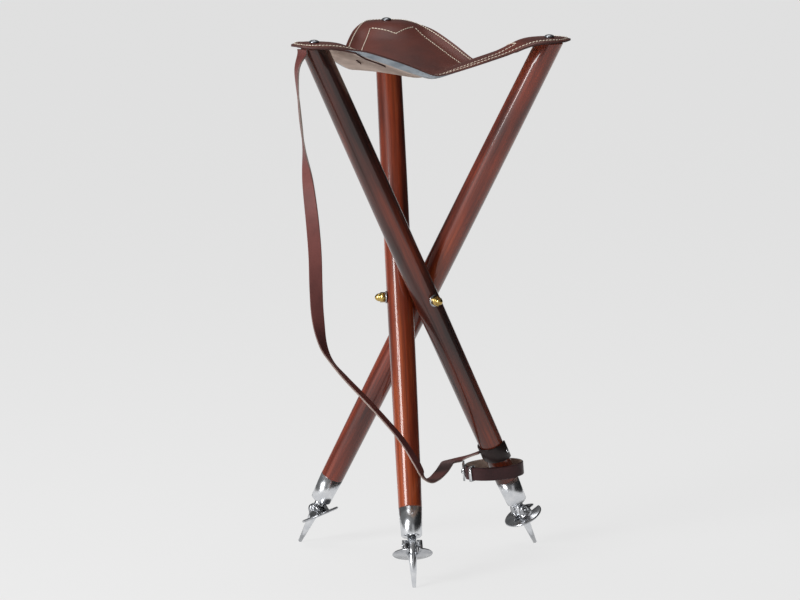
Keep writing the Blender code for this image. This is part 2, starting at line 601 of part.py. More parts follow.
def make_belt(leg):
    """The belt ring round leg A with its tail, keeper and buckle, whose prong's eye holds the frame's bar."""
    spots = [belt_spot(2 * math.pi * k / BELT_STEPS) for k in range(BELT_STEPS)]
    ring = ribbon([s[0] for s in spots], [s[1] for s in spots], BELT_WIDTH, BELT_THICKNESS, closed=True)
    add_object("foot_belt", ring, STRAP_LEATHER, leg)

    layer = BELT_THICKNESS + GAP
    turns = [TAIL_START + (TAIL_END - TAIL_START) * k / TAIL_STEPS for k in range(TAIL_STEPS + 1)]
    spots = [belt_spot(turn, layer) for turn in turns]
    end = spots[-1][0]
    taper = [min(1.0, 0.15 + (end - s[0]).length / TAIL_POINT) for s in spots]
    tail = ribbon([s[0] for s in spots], [s[1] for s in spots], BELT_WIDTH, BELT_THICKNESS, taper=taper)
    add_object("belt_tail", tail, STRAP_LEATHER, leg)

    half_high = BELT_WIDTH / 2 + GAP
    depth = 2 * BELT_THICKNESS + 3 * GAP + KEEPER_SPARE
    hole = [(-half_high, -depth / 2), (half_high, -depth / 2),
            (half_high, depth / 2), (-half_high, depth / 2)]
    wide = half_high + KEEPER_THICKNESS
    deep = depth / 2 + KEEPER_THICKNESS
    edge = [(-wide, -deep), (wide, -deep), (wide, deep), (-wide, deep)]
    place = belt_frame(KEEPER_AT, layer / 2) @ Matrix.Rotation(math.pi / 2, 4, "Z")
    keeper = plate(edge, -KEEPER_WIDTH / 2, KEEPER_WIDTH / 2)
    keeper = add_object("belt_keeper", keeper, POLISHED, leg, place)
    inside = add_cutter("belt_keeper_inside", plate(hole, -KEEPER_WIDTH, KEEPER_WIDTH), leg, place)
    combine(keeper, inside, "DIFFERENCE")

    high = BELT_WIDTH / 2 + BUCKLE_SPARE
    long = BUCKLE_LENGTH / 2
    seat = belt_frame(0.0, BELT_THICKNESS / 2 + GAP + BUCKLE_WIRE / 2)
    flat = Matrix.Rotation(math.pi / 2, 4, "X")
    edge = [(-long, -high), (long, -high), (long, high), (-long, high)]
    frame = plate(edge, -BUCKLE_WIRE / 2, BUCKLE_WIRE / 2)
    frame = add_object("buckle_frame", frame, POLISHED, leg, seat @ flat)
    inner_long = long - BUCKLE_WIRE
    inner_high = high - BUCKLE_WIRE
    window = [(-inner_long, -inner_high), (inner_long, -inner_high),
              (inner_long, inner_high), (-inner_long, inner_high)]
    window = plate(window, -BUCKLE_WIRE, BUCKLE_WIRE)
    combine(frame, add_cutter("buckle_window", window, leg, seat @ flat), "DIFFERENCE")

    pivot = add_empty("prong_pivot", seat @ Matrix.Translation((long - BUCKLE_WIRE / 2, 0, 0)), leg)
    reach = BUCKLE_LENGTH - BUCKLE_WIRE
    rod = turned([(PRONG_RADIUS * 0.6, -reach - BUCKLE_WIRE / 2), (PRONG_RADIUS, -reach + BUCKLE_WIRE),
                  (PRONG_RADIUS, 0)], 10)
    over_frame = BUCKLE_WIRE / 2 + GAP + PRONG_RADIUS
    lying = Matrix.Translation((0, 0, over_frame)) @ Matrix.Rotation(math.pi / 2, 4, "Y")
    prong = add_object("buckle_prong", rod, POLISHED, pivot, lying)
    bore = BUCKLE_WIRE / math.sqrt(2) + GAP
    along_bar = Matrix.Rotation(-math.pi / 2, 4, "X")
    eye = turned([(bore + PRONG_EYE_WALL, -PRONG_RADIUS), (bore + PRONG_EYE_WALL, PRONG_RADIUS)], 24)
    combine(prong, add_cutter("prong_eye", eye, pivot, along_bar), "UNION")
    hole = turned([(bore, -BUCKLE_WIRE), (bore, BUCKLE_WIRE)], 24)
    combine(prong, add_cutter("prong_eye_hole", hole, pivot, along_bar), "DIFFERENCE")


def make_tab(leg):
    """The strap's end round leg A: a band that drops and widens to the tab, and the rivet through it."""
    end = TAB_ANGLE + TAB_HALF_ANGLE
    rings = []
    for k in range(WRAP_STEPS + 1):
        share = k / WRAP_STEPS
        turn = WRAP_START + (end - WRAP_START) * share
        low = TAB_BOTTOM + WRAP_RISE * (1 - share)
        high = low + STRAP_WIDTH + (TAB_LENGTH - STRAP_WIDTH) * share
        out = Vector((math.cos(turn), math.sin(turn), 0))
        ring = []
        for along, layer in ((low, 0), (high, 0), (high, TAB_THICKNESS), (low, TAB_THICKNESS)):
            ring.append(out * (leg_radius(along) + GAP + layer) + UP * along)
        rings.append(ring)
    tab = add_object("belt_tab", loft(rings), STRAP_LEATHER, leg)
    middle = TAB_BOTTOM + TAB_LENGTH / 2
    wood = leg_radius(middle)
    face = wood + TAB_THICKNESS + 3 * GAP
    inward = Matrix.Rotation(TAB_ANGLE, 4, "Z") @ Matrix.Rotation(math.pi / 2, 4, "Y")
    inward.translation = (0, 0, middle)
    wide = RIVET_SHAFT_RADIUS + GAP
    hole = turned([(wide, wood - RIVET_DEPTH - GAP), (wide, face + CUT_PAST)], 12)
    hole = add_cutter("rivet_hole", hole, leg, inward)
    combine(tab, hole, "DIFFERENCE")
    combine(bpy.data.objects["leg_a"], hole, "DIFFERENCE")
    head = [(RIVET_SHAFT_RADIUS, wood - RIVET_DEPTH), (RIVET_SHAFT_RADIUS, face), (RIVET_RADIUS, face),
            (RIVET_RADIUS * 0.8, face + RIVET_HEIGHT * 0.7), (RIVET_RADIUS * 0.3, face + RIVET_HEIGHT)]
    add_object("tab_rivet", turned(head, 16), POLISHED, leg, inward)


def strap_end(run):
    """A point square off the wrapped end, where the strap meets it, in leg A's axes."""
    share = (STRAP_END_ANGLE - WRAP_START) / (TAB_ANGLE + TAB_HALF_ANGLE - WRAP_START)
    along = TAB_BOTTOM + WRAP_RISE * (1 - share) + STRAP_WIDTH / 2
    out = Vector((math.cos(STRAP_END_ANGLE), math.sin(STRAP_END_ANGLE), 0))
    return out * (leg_radius(along) + TAB_THICKNESS + 2 * GAP + run) + UP * along


def make_strap(leg):
    """The carry strap, from under the seat's corner to its wrapped end on leg A."""
    axis = Vector((AXIS_X, AXIS_Y, 0))
    corner = top_point("a") - axis
    outward = corner.xy.to_3d().normalized()
    beside = LEG_TOP_RADIUS / math.cos(LEAN) + GAP + STRAP_THICKNESS / 2
    reach = corner.xy.length + beside
    sag = seat_sag("a", STRAP_WIDTH / 2 / reach, SEAT_REACH)
    start = outward * reach + UP * (PATCH_BOTTOM - sag - 2 * GAP)
    below = start - UP * STRAP_START_DROP
    near, end = [leg_frame("a") @ strap_end(run) - axis for run in (STRAP_END_RUN, 0)]
    route = smooth_route((start, below, *STRAP_ROUTE, near, end), STRAP_STEPS)
    faces = smooth_route(STRAP_FACES, STRAP_STEPS)
    strip = ribbon([point + axis for point in route], faces, STRAP_WIDTH, STRAP_THICKNESS)
    add_object("carry_strap", strip, STRAP_LEATHER, leg, leg_frame("a").inverted())


def main():
    clear_scene()
    hub = add_empty("hub", Matrix.Translation((AXIS_X, AXIS_Y, HUB_HEIGHT)))
    make_hub(hub)
    for letter in STUD_AZIMUTH:
        leg = add_empty(f"leg_{letter}_pivot", leg_frame(letter))
        make_leg(letter, leg)
        make_foot(letter, leg)
        make_screw(letter, leg)
        if letter == "a":
            make_belt(add_empty("belt", belt_axes(), leg))
            make_tab(leg)
            make_strap(leg)
    make_seat()
    bpy.context.view_layer.update()


main()
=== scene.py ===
"""Looks of the tripod hunting stool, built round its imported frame. Metres, +Z up, camera looking along +Y."""
import json
import math

import bmesh
import bpy
from mathutils import Matrix, Vector


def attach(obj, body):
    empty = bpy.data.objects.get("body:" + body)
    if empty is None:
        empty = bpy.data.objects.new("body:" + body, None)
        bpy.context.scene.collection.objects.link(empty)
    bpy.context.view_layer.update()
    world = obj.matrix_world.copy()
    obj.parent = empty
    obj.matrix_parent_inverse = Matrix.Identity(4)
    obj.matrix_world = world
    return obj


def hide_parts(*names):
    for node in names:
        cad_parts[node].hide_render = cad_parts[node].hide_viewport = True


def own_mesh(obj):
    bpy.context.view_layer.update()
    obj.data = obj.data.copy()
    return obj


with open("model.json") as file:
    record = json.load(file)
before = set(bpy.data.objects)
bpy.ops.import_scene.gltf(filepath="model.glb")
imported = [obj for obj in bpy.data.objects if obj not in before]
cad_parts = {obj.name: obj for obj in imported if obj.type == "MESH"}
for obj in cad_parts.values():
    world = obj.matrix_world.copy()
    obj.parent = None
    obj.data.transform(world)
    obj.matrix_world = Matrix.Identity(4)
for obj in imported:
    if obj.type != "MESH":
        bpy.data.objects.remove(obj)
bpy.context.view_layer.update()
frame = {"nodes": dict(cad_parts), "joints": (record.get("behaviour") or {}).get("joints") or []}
JOINTS = {joint["name"]: joint for joint in frame["joints"]}
LETTERS = ("a", "b", "c")
UP = Vector((0, 0, 1))
HALF_THIRD = math.radians(60)

# Camera at the photo's angle, aimed beside the tripod's axis
FOCAL_LENGTH = 198.4
SENSOR_WIDTH = 36.0
CAMERA_DISTANCE = 5.426
CAMERA_ELEVATION = math.radians(9.19)
AIM_LEFT = 0.0203
AIM_HEIGHT = 0.3235
CLIP_END = 100.0

# Sizes that the solids have too
HUB = Vector(JOINTS["leg_a_fold"]["pos_m"])
LEAN = math.radians(27.5)
LEG_OFFSET = 0.0205
LEG_TOP_HEIGHT = 0.647
LEG_TOP_RADIUS = 0.0156
LEG_HUB_RADIUS = 0.0162
LEG_FOOT_RADIUS = 0.0143
LEG_EDGE_BREAK = 0.0012
LEG_TOP = (LEG_TOP_HEIGHT - HUB.z) / math.cos(LEAN)
SPIKE_TIP_RADIUS = 0.0022
FOOT_LENGTH = 0.0980
FERRULE_TOP = FOOT_LENGTH - (HUB.z - SPIKE_TIP_RADIUS * math.sin(LEAN)) / math.cos(LEAN)
GAP = 0.0003

# Leather seat
SEAT_THICKNESS = 0.0032
PATCH_THICKNESS = 0.0020
SEAT_OVERHANG = 0.0245
SEAT_EDGE_DISTANCE = 0.1130
SEAT_EDGE_HOLLOW = 0.0120
SEAT_CORNER_BLEND = 30
SEAT_SLOPE = 0.36
SEAT_FLAT_RADIUS = 0.0305
SEAT_BEND_ROUND = 0.0020
SEAT_CREASE_ROUND = 0.0030
SEAT_HALF_STEPS = 26
SEAT_STEP_CROWDING = 1.3
SEAT_RINGS = 40
SEAT_INNER_REACH = 0.0020
PATCH_STEPS = 24
OUTLINE_STEPS = 600
SEAT_EDGE_SKIVE = 0.0012
SEAT_SKIVE_WIDTH = 0.0080
SEAT_CURL = {"a": 0.0100, "b": 0.0090, "c": 0.0020}
SEAT_CURL_REACH = 0.0300
SEAT_CURL_WIDTH = 0.0220
SEAT_SETTLE = 0.0050
SEAT_SETTLE_FROM = 0.0300
SEAT_SETTLE_TO = 0.0700
HEM_WIDTH = 0.0160
PATCH_HALF_ANGLE = math.radians(17)
CORNER_REACH = math.hypot(LEG_OFFSET, (LEG_TOP_HEIGHT - HUB.z) * math.tan(LEAN))
SEAT_REACH = CORNER_REACH + SEAT_OVERHANG
PATCH_REACH = 2 * SEAT_OVERHANG
PATCH_OUTER = 0.955
PATCH_BOTTOM = LEG_TOP_HEIGHT + GAP
SEAT_BOTTOM = PATCH_BOTTOM + PATCH_THICKNESS + GAP
SEAT_TOP = SEAT_BOTTOM + SEAT_THICKNESS

# Thread
STITCH_PITCH = 0.0042
STITCH_LENGTH = 0.0032
STITCH_WIDTH = 0.0010
STITCH_HEIGHT = 0.0005
STITCH_ROWS = (0.0040, 0.0200)
CHEVRON_END = 0.0330
CHEVRON_TIP = 0.0540
CHEVRON_STEPS = 40
# Rings along a stitch by share of its length, width and height, then the points round a ring
STITCH_RINGS = ((-0.5, 0.4, 0.0), (-0.3, 1.0, 0.9), (0.3, 1.0, 0.9), (0.5, 0.4, 0.0))
STITCH_SECTION = ((1, -0.4), (0.75, 0.6), (-0.75, 0.6), (-1, -0.4))

# Foot belt
BELT_TILT = math.radians(22)
BELT_WIDTH = 0.0160
BELT_THICKNESS = 0.0024
BELT_ABOVE_FERRULE = 0.0160
BELT_AT = FERRULE_TOP + BELT_ABOVE_FERRULE
BELT_HALF_LENGTH = 0.0355
BELT_HALF_DEPTH = 0.0230
BELT_LEFT_SHIFT = 0.0095
BELT_LEFT_ANGLE = math.radians(-39)
BELT_EASE = 0.0005
BELT_STEPS = 120
TAIL_START = math.radians(24)
TAIL_END = math.radians(152)
TAIL_STEPS = 60
TAIL_POINT = 0.0090
TAIL_END_SHARE = 0.15

# Strap's end round leg A
TAB_ABOVE_BELT = 0.0120
TAB_BOTTOM = BELT_AT + TAB_ABOVE_BELT
TAB_LENGTH = 0.0240
TAB_THICKNESS = 0.0022
TAB_END = math.radians(140)
WRAP_START = math.radians(-64)
WRAP_RISE = 0.0130
WRAP_STEPS = 60

# Carry strap: the part's own route, from the tripod's axis, with its faces turned to match the photo
STRAP_WIDTH = 0.0160
STRAP_THICKNESS = 0.0024
STRAP_STEPS = 300
STRAP_START_DROP = 0.0060
STRAP_END_ANGLE = math.radians(-39)
STRAP_END_RUN = 0.0280
STRAP_BESIDE_LEG = 0.0200
LEG_B_WHEN_FOLDED = math.radians(-18.7)
STRAP_ROUTE = (
    (-0.143, -0.134, 0.620),
    (-0.140, -0.135, 0.575),
    (-0.135, -0.135, 0.530),
    (-0.130, -0.135, 0.485),
    (-0.125, -0.136, 0.440),
    (-0.122, -0.136, 0.400),
    (-0.121, -0.136, 0.360),
    (-0.119, -0.137, 0.325),
    (-0.113, -0.138, 0.292),
    (-0.102, -0.139, 0.270),
    (-0.085, -0.140, 0.250),
    (-0.062, -0.141, 0.226),
    (-0.040, -0.142, 0.202),
    (-0.018, -0.144, 0.176),
    (-0.001, -0.150, 0.150),
    (0.010, -0.150, 0.130),
    (0.020, -0.125, 0.124),
    (0.030, -0.080, 0.124),
    (0.036, -0.030, 0.122),
    (0.040, 0.020, 0.116),
)
STRAP_FACES = (
    (-0.73, -0.68, 0.0),
    (-0.73, -0.68, 0.0),
    (-0.96, -0.28, 0.0),
    (-1.00, 0.02, 0.0),
    (-0.99, -0.12, 0.0),
    (-0.55, -0.83, 0.0),
    (-0.20, -0.98, 0.0),
    (0.00, -1.00, 0.0),
    (0.20, -0.98, 0.0),
    (0.40, -0.90, 0.0),
    (0.80, -0.50, 0.2),
    (0.95, -0.10, 0.4),
    (0.70, -0.15, 0.7),
    (0.70, -0.20, 0.7),
    (0.72, -0.20, 0.7),
    (0.75, -0.25, 0.6),
    (0.85, -0.35, 0.4),
    (0.45, -0.10, 0.9),
    (0.00, 0.06, 1.0),
    (0.00, 0.04, 1.0),
    (0.00, 0.00, 1.0),
    (0.00, 0.00, 1.0),
    (0.00, 0.00, 1.0),
    (0.00, 0.00, 1.0),
)

# Turned legs
LEG_SIDES = 96
LEG_RINGS = 24

# Stage
BACKGROUND = 0.84
FLOOR_HALF = 30.0
FLOOR_SHADE = 0.14
WORLD_STRENGTH = 0.20
CARD_PLACE = (1.6, 0.0, 1.2)
CARD_SIZE = (7.0, 2.4)
CARD_SHADE = 0.01
CARD_ROUGHNESS = 0.9
# Name, place, width and height, and watts of each lamp
LAMPS = (
    ("key", (-2.0, -1.8, 1.3), (0.9, 1.9), 84.0),
    ("fill", (0.9, -2.6, 0.9), (1.2, 1.6), 2.0),
    ("top", (-0.2, 0.4, 2.4), (1.2, 1.2), 14.0),
)

# Surfaces
COAT_ROUGHNESS = 0.05
SHARP_ANGLE = math.radians(40)
METAL_SHARP_ANGLE = math.radians(35)
WELD_DISTANCE = 0.00001


def add_node(tree, kind, **values):
    """A shader node with its inputs set by name."""
    node = tree.nodes.new(kind)
    for name, value in values.items():
        node.inputs[name].default_value = value
    return node


def new_look(name, roughness, metallic=0.0, coat=0.0, specular=0.5):
    look = bpy.data.materials.new(name)
    look.use_nodes = True
    tree = look.node_tree
    shader = tree.nodes["Principled BSDF"]
    shader.inputs["Roughness"].default_value = roughness
    shader.inputs["Metallic"].default_value = metallic
    shader.inputs["Coat Weight"].default_value = coat
    shader.inputs["Coat Roughness"].default_value = COAT_ROUGHNESS
    shader.inputs["Specular IOR Level"].default_value = specular
    return look, tree, shader


def noise(tree, scale, detail, stretch=(1, 1, 1)):
    """Noise in the object's own coordinates, stretched along its axes."""
    where = tree.nodes.new("ShaderNodeTexCoord")
    fit = add_node(tree, "ShaderNodeMapping", Scale=stretch)
    tree.links.new(where.outputs["Object"], fit.inputs["Vector"])
    made = add_node(tree, "ShaderNodeTexNoise", Scale=scale, Detail=detail)
    tree.links.new(fit.outputs["Vector"], made.inputs["Vector"])
    return made.outputs["Fac"]


def ramp(tree, source, stops):
    """Colours by a 0 to 1 value."""
    made = tree.nodes.new("ShaderNodeValToRGB")
    elements = made.color_ramp.elements
    while len(elements) < len(stops):
        elements.new(0.5)
    for element, (at, colour) in zip(elements, stops):
        element.position = at
        element.color = (*colour, 1)
    tree.links.new(source, made.inputs["Fac"])
    return made.outputs["Color"]


def multiply_colours(tree, share, first, second):
    """The first colour multiplied by a share of the second."""
    made = tree.nodes.new("ShaderNodeMix")
    made.data_type = "RGBA"
    made.blend_type = "MULTIPLY"
    made.inputs["Factor"].default_value = share
    tree.links.new(first, made.inputs["A"])
    tree.links.new(second, made.inputs["B"])
    return made.outputs["Result"]


def add_bump(tree, shader, source, strength, depth):
    bump = add_node(tree, "ShaderNodeBump", Strength=strength, Distance=depth)
    tree.links.new(source, bump.inputs["Height"])
    tree.links.new(bump.outputs["Normal"], shader.inputs["Normal"])


def wood_look(letter, dark, middle, bright):
    """Red-stained wood under gloss varnish, with grain along the leg."""
    look, tree, shader = new_look(f"varnished wood {letter}", 0.40, coat=0.80, specular=0.30)
    broad = noise(tree, 1.0, detail=3.0, stretch=(42, 42, 5.5))
    fine = noise(tree, 1.0, detail=6.0, stretch=(420, 420, 9))
    colour = ramp(tree, broad, ((0.30, dark), (0.50, middle), (0.72, bright)))
    streak = ramp(tree, fine, ((0.35, (0.45, 0.40, 0.38)), (0.62, (1.0, 1.0, 1.0))))
    tree.links.new(multiply_colours(tree, 0.75, colour, streak), shader.inputs["Base Color"])
    add_bump(tree, shader, fine, 0.08, 0.0003)
    return look


def leather_look(name, dark, bright, roughness):
    """Smooth dyed leather with clouded colour and fine pores."""
    look, tree, shader = new_look(name, roughness, specular=0.32)
    cloud = noise(tree, 24.0, detail=5.0)
    pores = noise(tree, 900.0, detail=2.0)
    colour = ramp(tree, cloud, ((0.32, dark), (0.68, bright)))
    speck = ramp(tree, pores, ((0.30, (0.72, 0.70, 0.70)), (0.55, (1.0, 1.0, 1.0))))
    tree.links.new(multiply_colours(tree, 0.8, colour, speck), shader.inputs["Base Color"])
    add_bump(tree, shader, pores, 0.18, 0.0004)
    return look


def suede_look(name, dark, bright):
    """The rough flesh side of the leather."""
    look, tree, shader = new_look(name, 0.92, specular=0.2)
    cloud = noise(tree, 60.0, detail=8.0)
    nap = noise(tree, 700.0, detail=3.0)
    colour = ramp(tree, cloud, ((0.30, dark), (0.70, bright)))
    tree.links.new(colour, shader.inputs["Base Color"])
    shader.inputs["Sheen Weight"].default_value = 0.15
    add_bump(tree, shader, nap, 0.45, 0.0006)
    return look


def metal_look(name, dark, bright, low_rough, high_rough):
    """Worked metal with faint marks in its colour and gloss."""
    look, tree, shader = new_look(name, low_rough, metallic=1.0)
    marks = noise(tree, 90.0, detail=3.0)
    tree.links.new(ramp(tree, marks, ((0.30, dark), (0.65, bright))), shader.inputs["Base Color"])
    spread = add_node(tree, "ShaderNodeMapRange")
    spread.inputs["To Min"].default_value = low_rough
    spread.inputs["To Max"].default_value = high_rough
    tree.links.new(marks, spread.inputs["Value"])
    tree.links.new(spread.outputs["Result"], shader.inputs["Roughness"])
    return look


def thread_look():
    look, tree, shader = new_look("cream thread", 0.75, specular=0.3)
    fibre = noise(tree, 1500.0, detail=3.0)
    colour = ramp(tree, fibre, ((0.30, (0.55, 0.44, 0.33)), (0.65, (0.86, 0.78, 0.66))))
    tree.links.new(colour, shader.inputs["Base Color"])
    add_bump(tree, shader, fibre, 0.3, 0.0002)
    return look


LOOKS = {
    "leather": leather_look("seat leather", (0.075, 0.013, 0.007), (0.135, 0.024, 0.012), 0.42),
    "strap": leather_look("strap leather", (0.095, 0.026, 0.023), (0.150, 0.043, 0.037), 0.48),
    "belt": leather_look("belt leather", (0.030, 0.008, 0.009), (0.064, 0.016, 0.017), 0.40),
    # Near-black leather: the belt's own dark cut edges, and painted shade on the strap's wrapped end round leg
    # A
    "dark": leather_look("dark leather and painted shade", (0.010, 0.006, 0.006), (0.026, 0.013, 0.012), 0.38),
    "cut": leather_look("cut leather edge", (0.055, 0.022, 0.019), (0.100, 0.042, 0.036), 0.70),
    "pale cut": leather_look("pale cut edge", (0.150, 0.110, 0.100), (0.300, 0.240, 0.220), 0.75),
    "under": suede_look("pale flesh side", (0.34, 0.24, 0.19), (0.52, 0.40, 0.33)),
    "hem": suede_look("grey hem", (0.15, 0.18, 0.21), (0.36, 0.40, 0.44)),
    "thread": thread_look(),
    "aluminium": metal_look("bright aluminium", (0.62, 0.64, 0.67), (0.78, 0.79, 0.81), 0.20, 0.30),
    "steel": metal_look("bright steel", (0.36, 0.37, 0.39), (0.55, 0.56, 0.58), 0.20, 0.32),
    "dark steel": metal_look("dark steel", (0.14, 0.15, 0.17), (0.30, 0.31, 0.33), 0.24, 0.36),
    "brass": metal_look("polished brass", (0.40, 0.27, 0.08), (0.66, 0.47, 0.16), 0.16, 0.28),
}
WOOD = {
    "a": wood_look("a", (0.014, 0.005, 0.004), (0.075, 0.013, 0.006), (0.250, 0.036, 0.009)),
    "b": wood_look("b", (0.055, 0.008, 0.004), (0.210, 0.030, 0.008), (0.380, 0.070, 0.014)),
    "c": wood_look("c", (0.045, 0.007, 0.004), (0.200, 0.026, 0.008), (0.360, 0.060, 0.014)),
}
# Looks of the metal nodes, by the start of their names
METAL_LOOKS = {
    "ferrule": "aluminium",
    "mud_disc": "steel",
    "spike": "aluminium",
    "disc_pin": "steel",
    "seat_screw": "dark steel",
    "stud_washer": "steel",
    "acorn_nut": "brass",
    "three_way_bolt": "brass",
    "belt_keeper": "aluminium",
    "buckle_frame": "aluminium",
    "buckle_prong": "steel",
    "tab_rivet": "aluminium",
}


def add_piece(name, bm, looks, body, replaced=(), place=None):
    """A smooth piece that rides on a body, with its looks in slot order."""
    bmesh.ops.recalc_face_normals(bm, faces=bm.faces)
    mesh = bpy.data.meshes.new(name)
    bm.to_mesh(mesh)
    bm.free()
    mesh.shade_smooth()
    mesh.set_sharp_from_angle(angle=SHARP_ANGLE)
    for look in looks:
        mesh.materials.append(look)
    piece = bpy.data.objects.new(name, mesh)
    bpy.context.scene.collection.objects.link(piece)
    if place:
        piece.matrix_world = place
    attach(piece, body)
    if replaced:
        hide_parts(*replaced)
    return piece


def join_rings(bm, rings, closed=False):
    """Faces between rings of vertices, with caps on the first and last unless the row closes on itself."""
    count = len(rings[0])
    pairs = list(zip(rings, rings[1:]))
    if closed:
        pairs.append((rings[-1], rings[0]))
    else:
        bm.faces.new(rings[0][::-1])
        bm.faces.new(rings[-1])
    for low, high in pairs:
        for k in range(count):
            after = (k + 1) % count
            bm.faces.new((low[k], low[after], high[after], high[k]))


def loft(rings, closed=False):
    bm = bmesh.new()
    join_rings(bm, [[bm.verts.new(point) for point in ring] for ring in rings], closed)
    return bm


def smooth_route(points, steps):
    """Points along a Catmull-Rom curve through the given ones."""
    points = [Vector(p) for p in points]
    ends = [2 * points[0] - points[1], *points, 2 * points[-1] - points[-2]]
    route = []
    for k in range(steps + 1):
        at = k / steps * (len(points) - 1)
        i = min(int(at), len(points) - 2)
        u = at - i
        p0, p1, p2, p3 = ends[i:i + 4]
        route.append(0.5 * (2 * p1 + (p2 - p0) * u + (2 * p0 - 5 * p1 + 4 * p2 - p3) * u ** 2
                            + (3 * p1 - p0 - 3 * p2 + p3) * u ** 3))
    return route


# Points round a strip by half width and half thickness, and the look of the face after each
STRIP_SECTION = ((1.0, 0.55), (0.93, 1.0), (-0.93, 1.0), (-1.0, 0.55),
                 (-1.0, -0.55), (-0.93, -1.0), (0.93, -1.0), (1.0, -0.55))
STRIP_LOOKS = (0, 0, 0, 2, 1, 1, 1, 2)


def strip(route, faces, width, thickness, closed=False, taper=None):
    """A flat leather strip with broken edges: look 0 outside, 1 inside and 2 on the cut edges."""
    rings = []
    last = len(route) - 1
    for k, point in enumerate(route):
        before = route[k - 1] if k or closed else route[k]
        after = route[(k + 1) % len(route)] if k < last or closed else route[k]
        along = (after - before).normalized()
        out = (faces[k] - faces[k].dot(along) * along).normalized() * thickness / 2
        side = along.cross(out).normalized() * width / 2 * (taper[k] if taper else 1)
        rings.append([point + side * x + out * y for x, y in STRIP_SECTION])
    bm = loft(rings, closed)
    bm.faces.ensure_lookup_table()
    first = 0 if closed else 2
    for k, face in enumerate(bm.faces[first:]):
        face.material_index = STRIP_LOOKS[k % len(STRIP_SECTION)]
    return bm


def leg_frame(letter):
    """Axes of a leg: origin where its axis meets its stud, Z up the leg, Y out along the stud."""
    out = -Vector(JOINTS[f"leg_{letter}_fold"]["axis"])
    up_leg = math.cos(LEAN) * UP - math.sin(LEAN) * UP.cross(out)
    place = Matrix((out.cross(up_leg), out, up_leg)).transposed().to_4x4()
    place.translation = HUB + LEG_OFFSET * out
    return place


def leg_radius(along):
    foot, top = FERRULE_TOP, LEG_TOP
    return (LEG_FOOT_RADIUS * along * (along - top) / (foot * (foot - top))
            + LEG_HUB_RADIUS * (along - foot) * (along - top) / (foot * top)
            + LEG_TOP_RADIUS * along * (along - foot) / (top * (top - foot)))


def top_point(letter):
    return leg_frame(letter) @ Vector((0, 0, LEG_TOP))


TOPS = {letter: top_point(letter) for letter in LETTERS}


def corner_azimuth(letter):
    top = top_point(letter) - HUB
    return math.atan2(top.y, top.x)


def make_leg(letter):
    """The turned leg above its ferrule, its top cut level under the seat."""
    shoulder = FERRULE_TOP + GAP
    profile = [(LEG_FOOT_RADIUS - LEG_EDGE_BREAK / 2, shoulder)]
    for k in range(LEG_RINGS + 1):
        along = shoulder + LEG_EDGE_BREAK / 2 + (LEG_TOP - 2 * LEG_EDGE_BREAK - shoulder) * k / LEG_RINGS
        profile.append((leg_radius(along), along))
    profile.append((LEG_TOP_RADIUS - LEG_EDGE_BREAK, LEG_TOP))
    turns = [2 * math.pi * k / LEG_SIDES for k in range(LEG_SIDES)]
    bm = loft([[(r * math.cos(a), r * math.sin(a), z) for a in turns] for r, z in profile])
    for vert in bm.verts:
        if vert.co.z > LEG_TOP - 2 * LEG_EDGE_BREAK:
            vert.co.z += vert.co.x * math.tan(LEAN)
    add_piece(f"leg_wood_{letter}", bm, [WOOD[letter]], f"leg_{letter}",
              (f"leg_{letter}",), leg_frame(letter))


def seat_outline(turn):
    """Distance from the axis to the leather's edge, with turn measured from the nearest corner."""
    to_edge = HALF_THIRD - abs(turn)
    end = SEAT_REACH / math.cos(turn)
    side = SEAT_EDGE_DISTANCE / math.cos(to_edge) - SEAT_EDGE_HOLLOW * math.cos(1.5 * to_edge) ** 2
    blend = SEAT_CORNER_BLEND
    return (end ** -blend + side ** -blend) ** (-1 / blend)


def seat_sag(spot):
    """How far the leather hangs below its corners at a place in plan."""
    near = 0.0
    for other in LETTERS:
        slope = SEAT_SLOPE * ((spot - TOPS[other].xy).length - SEAT_FLAT_RADIUS)
        hang = SEAT_BEND_ROUND * math.log(1 + math.exp(slope / SEAT_BEND_ROUND))
        near += math.exp(-hang / SEAT_CREASE_ROUND)
    return max(-SEAT_CREASE_ROUND * math.log(near), 0.0)


def in_plan(letter, turn, distance):
    azimuth = corner_azimuth(letter) + turn
    return HUB.xy + distance * Vector((math.cos(azimuth), math.sin(azimuth)))


def rim_distance(spot):
    """How far a place in plan lies inside the nearest edge."""
    away = spot - HUB.xy
    third = 2 * HALF_THIRD
    turn = (math.atan2(away.y, away.x) - corner_azimuth("a") + third / 2) % third - third / 2
    return max(seat_outline(turn) - away.length, 0.0) * math.cos(HALF_THIRD - abs(turn))


def on_seat(spot, height):
    """A place in plan brought up to the leather, whose free edges curl up above its settled middle."""
    near = min((spot - TOPS[letter].xy).length for letter in LETTERS)
    free = min(max((near - SEAT_SETTLE_FROM) / (SEAT_SETTLE_TO - SEAT_SETTLE_FROM), 0.0), 1.0)
    free = free * free * (3 - 2 * free)
    shares = {letter: math.exp(-(spot - TOPS[letter].xy).length / SEAT_CURL_REACH) for letter in LETTERS}
    curl = sum(SEAT_CURL[letter] * share for letter, share in shares.items()) / sum(shares.values())
    curl *= max(1 - rim_distance(spot) / SEAT_CURL_WIDTH, 0.0) ** 2
    return Vector((spot.x, spot.y, height - seat_sag(spot) + free * (curl - SEAT_SETTLE)))


def skived_top(spot):
    """Height of the top face, thinned toward the cut edge."""
    return SEAT_TOP - SEAT_EDGE_SKIVE * max(1 - rim_distance(spot) / SEAT_SKIVE_WIDTH, 0.0) ** 2


def fold_with_leg(piece):
    """Gives the piece its own copy of its mesh."""
    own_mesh(piece)


